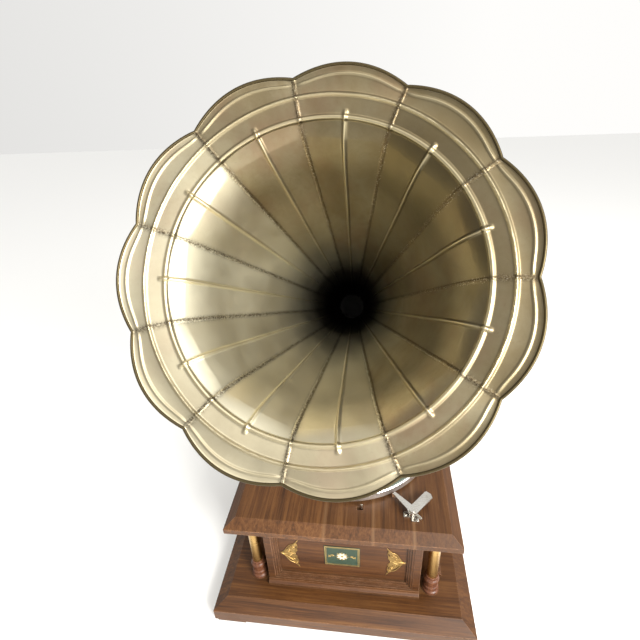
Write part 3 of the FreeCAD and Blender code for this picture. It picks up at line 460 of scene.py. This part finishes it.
def bump(distance, width):
    """A rounded ridge."""
    f = abs(distance) / width
    return 0.0 if f >= 1 else math.cos(f * math.pi / 2) ** 2


def wobble(*waves):
    return sum(a * math.sin(b) for a, b in waves)


def horn_sheet():
    """The gored sheet: rows from the throat to the rim, features pressed into it."""
    wall_rows = 150
    lip_rows = 56
    per_gore = 72
    shares = []
    for j in range(per_gore):
        u = j / per_gore
        # closer columns at the seam and at the rib
        shares.append(u - 0.75 * math.sin(4 * math.pi * u) / (4 * math.pi))
    rows = []
    for i in range(wall_rows):
        rows.append(("wall", i / wall_rows))
    for i in range(lip_rows + 1):
        rows.append(("lip", i / lip_rows))
    columns = per_gore * GORES
    inner, outer, marks = [], [], []
    for part, t in rows:
        for gore in range(GORES):
            for share in shares:
                angle = SEAM + (gore + share) * GORE
                edge = min(share, 1 - share)
                rim_radius, rim_z = rim_at(share)
                if part == "wall":
                    radius, z = smooth_through(WALL, t)
                    tangent = Vector([b - a for a, b in zip(smooth_through(WALL, max(t - 0.01, 0)),
                                                            smooth_through(WALL, t + 0.01))])
                    flat = 0.62 * (1 - max(0.0, t - 0.86) / 0.14)
                else:
                    radius = RING + (rim_radius - RING) * t
                    reach = (OUTER_RING - RING) / (rim_radius - RING)
                    if t < reach:
                        z = OUTER_RING_Z * (t / reach)
                    else:
                        f = (t - reach) / (1 - reach)
                        z = OUTER_RING_Z + (rim_z - OUTER_RING_Z) * (0.35 * f + 0.65 * f ** 2)
                    tangent = Vector((1.0, 0.3))
                    flat = 0.0
                chord = math.cos(GORE / 2) / math.cos((share - 0.5) * GORE)
                radius *= 1 - flat * (1 - chord)
                tangent.normalize()
                normal = (-tangent[1], tangent[0])
                arc = radius * GORE
                height = 0.0
                # rib along the middle of each gore
                off_rib = (share - 0.5) * arc
                rib_end = 1.0 if part == "wall" else max(0.0, 1 - max(0.0, radius - 203) / 4)
                rib_width = 1.8 + 0.012 * radius
                rib = bump(off_rib, rib_width) * rib_end * min(1, t * 12 + (part == "lip"))
                height += RIB_HIGH * rib
                # folded seam, a little uneven
                off_seam = (share if share < 0.5 else share - 1) * arc
                uneven = wobble((0.25, radius * 0.21 + gore * 2), (0.18, radius * 0.53 + gore))
                fold = 1 / (1 + math.exp(-(off_seam + 1.6) * 3)) - 1 / (
                    1 + math.exp(-(off_seam - 1.8 - uneven) * 4))
                height += SEAM_HIGH * fold * (1 if abs(off_seam) < 8 else 0)
                # two rings and the line that follows each petal
                inner_ring, outer_ring = bump(radius - RING, 3.8), bump(radius - OUTER_RING, 3.6)
                ring = max(inner_ring, outer_ring)
                height += RING_HIGH * inner_ring + OUTER_RING_HIGH * outer_ring
                inset = rim_radius - radius
                line = 9.5 - 3.0 * (1 - min(1, edge * 6)) ** 2
                if part == "lip":
                    follow = bump(inset - line, 2.6) * min(1, edge * 14)
                    ring = max(ring, 0.7 * follow, bump(inset, 2.5))
                    height += 1.5 * follow + 0.9 * bump(inset, 3.0)
                solder = math.exp(-(off_seam / (1.6 + 0.012 * radius)) ** 2)
                # painted light and shade: the lower left gores are painted pale as if lit, the
                # upper right ones painted dark as if shaded; each gore also gets its own random
                # colour
                centre = horn_spot(radius, SEAM + (gore + 0.5) * GORE, z) - MOUTH
                toward_painted_light = (-0.8 * centre[0] - 0.6 * centre[2]) / (radius * MM)
                spread = 0.5 if part == "wall" else 0.22
                lit_side_and_gore_tone = 0.5 + spread * toward_painted_light + 0.1 * ((gore * 7 % 11) / 10 - 0.5)
                marks.append((max(rib, ring), solder, lit_side_and_gore_tone, 1.0))
                # hand-beaten unevenness and shallow dents
                height += wobble((0.22, radius * 0.045 + angle * 3 + gore),
                                 (0.16, radius * 0.09 - angle * 7), (0.12, angle * 23 + z * 0.05))
                r_in = radius + normal[0] * height
                z_in = z + normal[1] * height
                inner.append(horn_spot(r_in, angle, z_in))
                outer.append(horn_spot(r_in - normal[0] * SHEET, angle,
                                       z_in - normal[1] * SHEET))
    count = len(rows)
    verts = inner + outer
    faces = ring_faces(count, columns)
    faces += ring_faces(count, columns, base=count * columns, flip=True)
    top = (count - 1) * columns
    for j in range(columns):
        k = (j + 1) % columns
        faces.append((top + j, top + k, count * columns + top + k, count * columns + top + j))
        faces.append((k, j, count * columns + j, count * columns + k))
    return verts, faces, marks + marks


def flat_paint(name, colour, rough):
    paint = Paint(name)
    paint.shader.inputs["Base Color"].default_value = (*colour, 1)
    paint.shader.inputs["Roughness"].default_value = rough
    return paint.material


def horn_paint(sheet=True):
    """Aged brass. The horn's sheet adds its own random colour for each gore, painted light on the
    lower left gores and painted shade on the upper right ones, a painted highlight along the
    ridges, solder marks along the seams and painted shade that darkens the metal down the throat;
    the elbow pipe has only the patches."""
    paint = Paint("aged_horn_brass_painted_light" if sheet else "aged_brass_pipe", Metallic=1.0)
    cloud = paint.noise(6, 6, 0.6, distortion=0.8)
    mottle = paint.noise(30, 6, 0.66, distortion=0.4)
    fine = paint.noise(300, 4, 0.7)
    colour = paint.steps(cloud, (0.34, (0.25, 0.195, 0.11)), (0.5, (0.32, 0.265, 0.165)),
                         (0.66, (0.39, 0.345, 0.235)))
    colour = paint.mix(paint.steps(mottle, (0.46, 0.0), (0.7, 0.4)), colour,
                       (0.215, 0.165, 0.085))
    rub = paint.steps(paint.noise(9, 4, 0.6, paint.scaled(1.3, 0.8, 1.1)), (0.5, 0.0),
                      (0.66, 0.55))
    colour = paint.mix(rub, colour, (0.27, 0.17, 0.105))
    colour = paint.mix(paint.steps(fine, (0.6, 0.0), (0.74, 0.35)), colour,
                       (0.14, 0.09, 0.045))
    if sheet:
        marks = paint.node("Attribute", attribute_name="pressed")
        split = paint.node("SeparateColor")
        paint.link(marks.outputs["Color"], split.inputs[0])
        ridge, seam, lit_side_and_gore_tone = (split.outputs[name] for name in ("Red", "Green", "Blue"))
        # painted light: pale colour on the lower left gores, standing in for the light that falls
        # there
        painted_lit_side = paint.steps(lit_side_and_gore_tone, (0.5, 0.0), (0.95, 0.85))
        colour = paint.mix(painted_lit_side, colour, (0.72, 0.68, 0.52))
        # painted shade: dark colour on the upper right gores
        painted_shaded_side = paint.steps(lit_side_and_gore_tone, (0.05, 0.92), (0.32, 0.6), (0.56, 0.0))
        colour = paint.mix(painted_shaded_side, colour, (0.06, 0.046, 0.022))
        # painted highlight: pale colour along the ribs, the rings and the petal lines
        colour = paint.mix(paint.maths("MULTIPLY", ridge, 0.6), colour, (0.52, 0.45, 0.29))
        speckle = paint.steps(paint.noise(420, 5, 0.8), (0.4, 0.0), (0.56, 1.0))
        colour = paint.mix(paint.maths("MULTIPLY", seam, paint.maths("MULTIPLY", speckle, 0.95)),
                           colour, (0.07, 0.048, 0.026))
        spatter = paint.steps(paint.noise(520, 3, 0.8, paint.scaled(1, 1, 1.4)), (0.6, 0.0),
                              (0.66, 0.9))
        colour = paint.mix(paint.maths("MULTIPLY", seam, spatter), colour, (0.55, 0.5, 0.38))
        # painted shade: the inward faces are painted near black further down the throat
        away = paint.node("VectorMath", operation="SUBTRACT")
        paint.link(paint.coords, away.inputs[0])
        away.inputs[1].default_value = tuple(MOUTH)
        along = paint.node("VectorMath", operation="DOT_PRODUCT")
        paint.link(away.outputs["Vector"], along.inputs[0])
        along.inputs[1].default_value = tuple(OUT)
        shifted = paint.maths("ADD", along.outputs["Value"],
                              paint.maths("MULTIPLY", mottle, 0.04))
        facing = paint.node("VectorMath", operation="DOT_PRODUCT")
        paint.link(paint.node("NewGeometry").outputs["Normal"], facing.inputs[0])
        facing.inputs[1].default_value = tuple(OUT)
        inside = paint.steps(facing.outputs["Value"], (0.02, 0.0), (0.15, 1.0))
        painted_throat_shade = paint.steps(paint.maths("MULTIPLY", shifted, -2.5), (0.45, 0.0), (0.6, 0.4),
                           (0.72, 0.9), (0.82, 1.0))
        painted_throat_shade = paint.maths("MULTIPLY", painted_throat_shade, inside)
        colour = paint.mix(painted_throat_shade, colour, (0.006, 0.004, 0.0025))
    rough = paint.steps(paint.mix(0.5, mottle, cloud), (0.3, 0.36), (0.7, 0.5))
    height = paint.mix(0.4, mottle, fine)
    if sheet:
        beaten = paint.maths("MULTIPLY", seam, paint.noise(260, 4, 0.8))
        height = paint.maths("ADD", height, paint.maths("MULTIPLY", beaten, 2.0))
    return paint.finish(colour, rough, height, 0.2, 0.0006, 0)


horn_brass = horn_paint()
verts, faces, marks = horn_sheet()
bell = mesh("horn_sheet", verts, faces, horn_brass, 50)
# the third channel carries the painted light and shade of the gores, the first the ridges that get
# a painted highlight
pressed = bell.data.color_attributes.new("pressed", "FLOAT_COLOR", "POINT")
pressed.data.foreach_set("color", [value for mark in marks for value in mark])

rim_path = []
per_petal = 34
for gore in range(GORES):
    for j in range(per_petal):
        share = j / per_petal
        radius, z = rim_at(share)
        rim_path.append(horn_spot(radius - 0.1, SEAM + (gore + share) * GORE, z + 0.3))
# the rim roll has no pressed attribute, so it reads zero there and takes the painted shade colour
# of the upper right gores
rim = tube("horn_rim_roll", rim_path, 1.9, horn_brass, 12, True)

elbow_path = []
elbow_sizes = []
low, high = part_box("horn_collar")
start = high[2] - 0.002
bend_from = 352.2 * MM
bend = 60 * MM
forward = Vector((math.sin(YAW), -math.cos(YAW), 0))
for k in range(8):
    elbow_path.append(Vector((PIVOT[0], PIVOT[1], start + (bend_from - start) * k / 8)))
    elbow_sizes.append(15.0 + 1.9 * k / 8)
for k in range(25):
    a = (math.pi / 2 - RISE) * k / 24
    elbow_path.append(Vector((PIVOT[0], PIVOT[1], bend_from)) + forward * bend * (1 - math.cos(a))
                      + Vector((0, 0, bend * math.sin(a))))
    elbow_sizes.append(17.0 + 9.0 * k / 24)


def hollow_pipe(name, path, radii, wall, material, steps=56, lining=None):
    verts = []
    count = len(path)
    side = Vector((1, 0, 0))
    rows = []
    for i in range(count):
        along = (path[min(i + 1, count - 1)] - path[max(i - 1, 0)]).normalized()
        side = (side - along * side.dot(along)).normalized()
        rows.append((path[i], side.copy(), along.cross(side)))
    for shrink in (0.0, wall):
        for (spot, a_dir, b_dir), radius in zip(rows, radii):
            for j in range(steps):
                a = 2 * math.pi * j / steps
                r = (radius - shrink) * MM
                verts.append(spot + a_dir * r * math.cos(a) + b_dir * r * math.sin(a))
    faces = ring_faces(count, steps)
    faces += ring_faces(count, steps, base=count * steps, flip=True)
    for row, order in ((0, 1), (count - 1, -1)):
        for j in range(steps):
            k = (j + 1) % steps
            a, b = row * steps + j, row * steps + k
            c, d = count * steps + b, count * steps + a
            faces.append((d, c, b, a) if order == 1 else (a, b, c, d))
    pipe = mesh(name, verts, faces, material, 50)
    if lining:
        pipe.data.materials.append(lining)
        for face in pipe.data.polygons:
            if face.index >= (count - 1) * steps:
                face.material_index = 1
    return pipe


# painted shade: the inside of the elbow pipe is painted near black
elbow = hollow_pipe("horn_elbow_pipe", elbow_path, elbow_sizes, 1.6, horn_paint(False),
                    lining=flat_paint("pipe_painted_shade", (0.004, 0.003, 0.002), 0.9))
ferrule_path = [elbow_path[-1] - OUT * (x * MM) for x in (14, 13, 11, 3, 1, -2)]
ferrule = hollow_pipe("horn_ferrule", ferrule_path, [28.0, 28.6, 28.8, 28.8, 28.6, 28.0], 1.6,
                      brass)
for piece in (bell, rim, elbow, ferrule):
    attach(piece, "horn")
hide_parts("horn_bell")
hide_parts("horn_rim_wire")
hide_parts("horn_elbow")

# ------------------------------------------------------------------ columns

SPOTS = ((-1, -1), (1, -1), (1, 1), (-1, 1))


def columns(node, label, profile, material, keep=()):
    low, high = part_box(node)
    reach = max(r for r, _ in profile) * MM
    at = high[0] - reach
    tall = (high[2] - low[2]) / MM
    top = max(z for _, z in profile)
    shape = softened([(r, z * tall / top) for r, z in profile], 4, keep)
    pieces = []
    for k, (sx, sy) in enumerate(SPOTS):
        piece = lathe("%s_%d" % (label, k), shape, (sx * at, sy * at, low[2]), material)
        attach(piece, "cabinet")
        pieces.append(piece)
    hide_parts(node)
    return pieces


base_profile = [(0, 0), (14, 0), (14, 4.5), (11.6, 6), (10.6, 8), (10.6, 9.5), (12.6, 11.5),
                (12.6, 15), (10.4, 17.5), (11.2, 22), (10.6, 26), (12.6, 29), (13, 31.5),
                (12.4, 34.5), (10.2, 36.5), (10.6, 39.5), (10.3, 42), (0, 42)]
cap_profile = [(0, 0), (10.4, 0), (11, 3), (10.2, 5), (12.4, 7.5), (12.8, 11), (12.2, 14),
               (10.2, 16.5), (10.8, 21), (12.2, 25), (14, 28), (14, 36), (0, 36)]
shaft_profile = [(0, 0), (9, 0), (9, 38), (9, 76), (0, 76)]
columns("column_bases", "column_base", base_profile, column_paint, (1, 16))
columns("column_shafts", "column_shaft", shaft_profile, column_brass, (1, 2, 3))
columns("column_caps", "column_cap", cap_profile, column_paint, (1, 11))

# ------------------------------------------------------------------ front panel ornaments

low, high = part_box("panel_ornaments")
FACE = high[1]


def front(a, b, h):
    """Panel-face coordinates: a across, b up from the table, h out of the panel, in mm."""
    return (a * MM, FACE - h * MM, b * MM)


def scroll(cx, cz, start_angle, turns, r0, r1, count=26):
    path = []
    for k in range(count + 1):
        f = k / count
        a = start_angle + turns * 2 * math.pi * f
        r = r0 + (r1 - r0) * f
        path.append((cx + r * math.cos(a), cz + r * math.sin(a)))
    return path


def ornament(side):
    """A stamped brass corner piece: a lace-edged plate with scrolls, leaves and beads."""
    outline = [(107, 119), (101, 122.5), (97.5, 127), (93, 130), (90, 136), (85, 139.5),
               (82, 146), (77, 150), (73, 157), (74.5, 151.5), (78, 148), (75.5, 145),
               (75.5, 141), (79, 138), (79, 134), (76, 130), (76.5, 126), (79.8, 122.5),
               (79.8, 115.5), (76.5, 112), (76, 108), (79, 104), (79, 100), (75.5, 97),
               (75.5, 93), (78, 89.5), (74.5, 86), (73.5, 79), (77, 87.5), (82, 91), (85, 98),
               (90, 102), (93, 108), (97.5, 111), (101, 115.5)]
    pieces = [plate("ornament_plate", [(side * a, b) for a, b in outline][::side], 0, 0.7, front,
                    brass)]
    lines = []
    for up in (1, -1):
        lines.append(scroll(89.5, 119 + up * 6.8, up * 2.2, up * 1.3, 4.8, 0.7))
        lines.append(scroll(83.6, 119 + up * 15.5, up * -0.6, up * 1.2, 3.9, 0.6))
        lines.append(scroll(79.0, 119 + up * 25.5, up * 2.4, up * -1.0, 2.8, 0.5))
        lines.append([(105 - 30 * f, 119 + up * (1 + 34.5 * f - 2.6 * math.sin(3 * math.pi * f)))
                      for f in [k / 30 for k in range(31)]])
        lines.append([(78.5 - 3.2 * f + 1.3 * math.sin(9 * f), 119 + up * (3 + 31 * f)) for f in
                      [k / 24 for k in range(25)]])
        lines.append([(98 - 14 * f, 119 + up * (2.5 + 14 * f + 3 * math.sin(math.pi * f)))
                      for f in [k / 14 for k in range(15)]])
    for bow in (2.4, -2.4, 0.0):
        lines.append([(82 + 21 * f, 119 + bow * math.sin(math.pi * f)) for f in
                      [k / 12 for k in range(13)]])
    for number, line in enumerate(lines):
        path = [front(side * a, b, 0.8) for a, b in line]
        pieces.append(tube("ornament_scroll_%d" % number, path, 0.75, brass, 8, False, True))
    for number, (a, b, r) in enumerate(((103.5, 119, 1.2), (75.6, 152.5, 0.9), (75.6, 85.5, 0.9),
                                        (80.5, 119, 1.3), (89.5, 125.8, 1.1),
                                        (89.5, 112.2, 1.1), (83.6, 134.5, 0.9),
                                        (83.6, 103.5, 0.9))):
        dots = [(r * math.sin(k * math.pi / 12), 0.5 + r * 0.8 * math.cos(k * math.pi / 12))
                for k in range(7)]
        dome = []
        for radius, rise in dots:
            dome.append([front(side * a + radius * math.cos(t * math.pi / 8),
                               b + radius * math.sin(t * math.pi / 8), rise)
                         for t in range(16)])
        spots = [spot for ring in dome for spot in ring]
        pieces.append(mesh("ornament_bead_%d" % number, spots,
                           ring_faces(7, 16, flip=side > 0) + [tuple(range(16))], brass, 60))
    return pieces


pieces = ornament(-1) + ornament(1)
for piece in pieces:
    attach(piece, "cabinet")
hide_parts("panel_ornaments")

# a plaque with a generic rosette
low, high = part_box("inlay_plaque")
pw, ph = (high[0] - low[0]) / 2 / MM, (high[2] - low[2]) / 2 / MM
pz = (high[2] + low[2]) / 2 / MM


def rectangle_ring(name, outer, width, h0, h1, material):
    w, t = pw - outer, ph - outer
    loops = [(w, t), (w - width, t - width)]
    verts, faces = [], []
    for a, b in loops:
        for h in (h0, h1):
            verts += [front(x, pz + z, h) for x, z in ((-a, -b), (a, -b), (a, b), (-a, b))]
    for k in range(4):
        j = (k + 1) % 4
        faces += [(4 + k, 4 + j, 12 + j, 12 + k), (j, k, 8 + k, 8 + j),
                  (k, j, 4 + j, 4 + k), (8 + j, 8 + k, 12 + k, 12 + j)]
    return mesh(name, verts, faces, material, 20)


def leaf(name, a, b, angle, long, wide, h0, h1, material):
    outline = []
    for k in range(20):
        t = 2 * math.pi * k / 20
        x, z = long / 2 * math.cos(t), wide / 2 * math.sin(t) * (1 - 0.35 * math.cos(t))
        outline.append((a + (x + long / 2) * math.cos(angle) - z * math.sin(angle),
                        b + (x + long / 2) * math.sin(angle) + z * math.cos(angle)))
    return plate(name, outline, h0, h1, front, material)


field = plate("plaque_field", [(-pw, pz - ph), (pw, pz - ph), (pw, pz + ph), (-pw, pz + ph)], 0,
              0.9, front, inlay_green)
plaque = [field, rectangle_ring("plaque_border", 1.0, 1.3, 0.85, 1.1, inlay_gold),
          rectangle_ring("plaque_line", 3.4, 0.6, 0.85, 1.0, inlay_gold)]
for k in range(8):
    turn = k * math.pi / 4 + math.pi / 8
    plaque.append(leaf("rosette_petal_%d" % k, 2.0 * math.cos(turn), pz + 2.0 * math.sin(turn),
                       turn, 7.5, 3.6, 0.85, 1.05, ivory))
for k in range(8):
    turn = k * math.pi / 4
    plaque.append(leaf("rosette_leaf_%d" % k, 4.0 * math.cos(turn), pz + 4.0 * math.sin(turn),
                       turn, 7.5, 1.8, 0.85, 1.0, inlay_gold))
plaque.append(plate("rosette_eye", [(2.1 * math.cos(k * math.pi / 10),
                                     pz + 2.1 * math.sin(k * math.pi / 10)) for k in range(20)],
                    1.0, 1.3, front, inlay_gold))
for side in (-1, 1):
    stem = [front(side * (13 + 9 * f), pz + 1.6 * math.sin(math.pi * 2 * f), 0.95)
            for f in [k / 16 for k in range(17)]]
    plaque.append(tube("sprig_stem", stem, 0.3, inlay_gold, 6))
    for k in range(4):
        f = (k + 0.5) / 4
        for up in (1, -1):
            turn = math.pi / 2 - side * (math.pi / 2 - up * 0.8)
            plaque.append(leaf("sprig_leaf", side * (13 + 9 * f),
                               pz + 1.6 * math.sin(math.pi * 2 * f), turn, 4.0, 1.3, 0.85, 1.0,
                               inlay_gold))
for piece in plaque:
    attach(piece, "cabinet")
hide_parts("inlay_plaque")

# ------------------------------------------------------------------ CAD nodes that stay

record = frame["record"]
replaced = {"horn_bell", "horn_rim_wire", "horn_elbow", "column_bases", "column_shafts",
            "column_caps", "panel_ornaments", "inlay_plaque"}
own_paint = {"corner_posts": wood_z}
for part in record["subparts"]:
    name = part["node"]
    if name in replaced:
        continue
    data = NODES[name].data
    data.materials.clear()
    data.materials.append(own_paint.get(name, PAINTS[part["material_slot"]]))

# ------------------------------------------------------------------ stage

floor_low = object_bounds()[0][2]
floor = mesh("floor", [(-6, -6, floor_low), (6, -6, floor_low), (6, 6, floor_low),
                       (-6, 6, floor_low)], [(0, 1, 2, 3)],
             flat_paint("floor_paint", (0.93, 0.93, 0.92), 0.85), None)

world = bpy.data.worlds.new("studio")
bpy.context.scene.world = world
world.use_nodes = True
backdrop = world.node_tree.nodes["Background"]
backdrop.inputs["Strength"].default_value = 1.0
where = world.node_tree.nodes.new("ShaderNodeTexCoord")
split = world.node_tree.nodes.new("ShaderNodeSeparateXYZ")
fade = world.node_tree.nodes.new("ShaderNodeValToRGB")
fade.color_ramp.elements[0].position = 0.0
fade.color_ramp.elements[0].color = (0.7, 0.695, 0.68, 1)
fade.color_ramp.elements[1].position = 0.6
fade.color_ramp.elements[1].color = (1.0, 0.99, 0.97, 1)
shift = world.node_tree.nodes.new("ShaderNodeMath")
shift.operation = "MULTIPLY_ADD"
shift.inputs[1].default_value = 0.5
shift.inputs[2].default_value = 0.5
for source, target in ((where.outputs["Generated"], split.inputs[0]),
                       (split.outputs["X"], shift.inputs[0]),
                       (shift.outputs[0], fade.inputs[0]),
                       (fade.outputs[0], backdrop.inputs["Color"])):
    world.node_tree.links.new(source, target)


def softbox(name, spot, aim, size, power, colour=(1, 1, 1)):
    data = bpy.data.lights.new(name, "AREA")
    data.shape = "RECTANGLE"
    data.size, data.size_y = size
    data.energy = power
    data.color = colour
    obj = bpy.data.objects.new(name, data)
    bpy.context.scene.collection.objects.link(obj)
    obj.location = spot
    obj.rotation_euler = (Vector(aim) - Vector(spot)).to_track_quat("-Z", "Y").to_euler()


softbox("window", (1.25, -1.3, 1.2), (-0.12, -0.1, 0.58), (1.0, 1.0), 95, (1.0, 0.99, 0.95))
softbox("overhead", (0.3, -1.0, 2.6), (0, 0, 0.3), (1.6, 1.6), 18, (1.0, 0.97, 0.92))
bpy.context.scene.view_settings.view_transform = "Standard"

camera_data = bpy.data.cameras.new("camera")
camera_data.sensor_width = 36
camera_data.lens = 24.28
camera_data.clip_start = 0.01
camera = bpy.data.objects.new("camera", camera_data)
camera.location = (0.04831, -0.59304, 0.825)
camera.rotation_euler = (1.0593319, 0.0463389, 0.1206871)
bpy.context.scene.collection.objects.link(camera)
bpy.context.scene.camera = camera
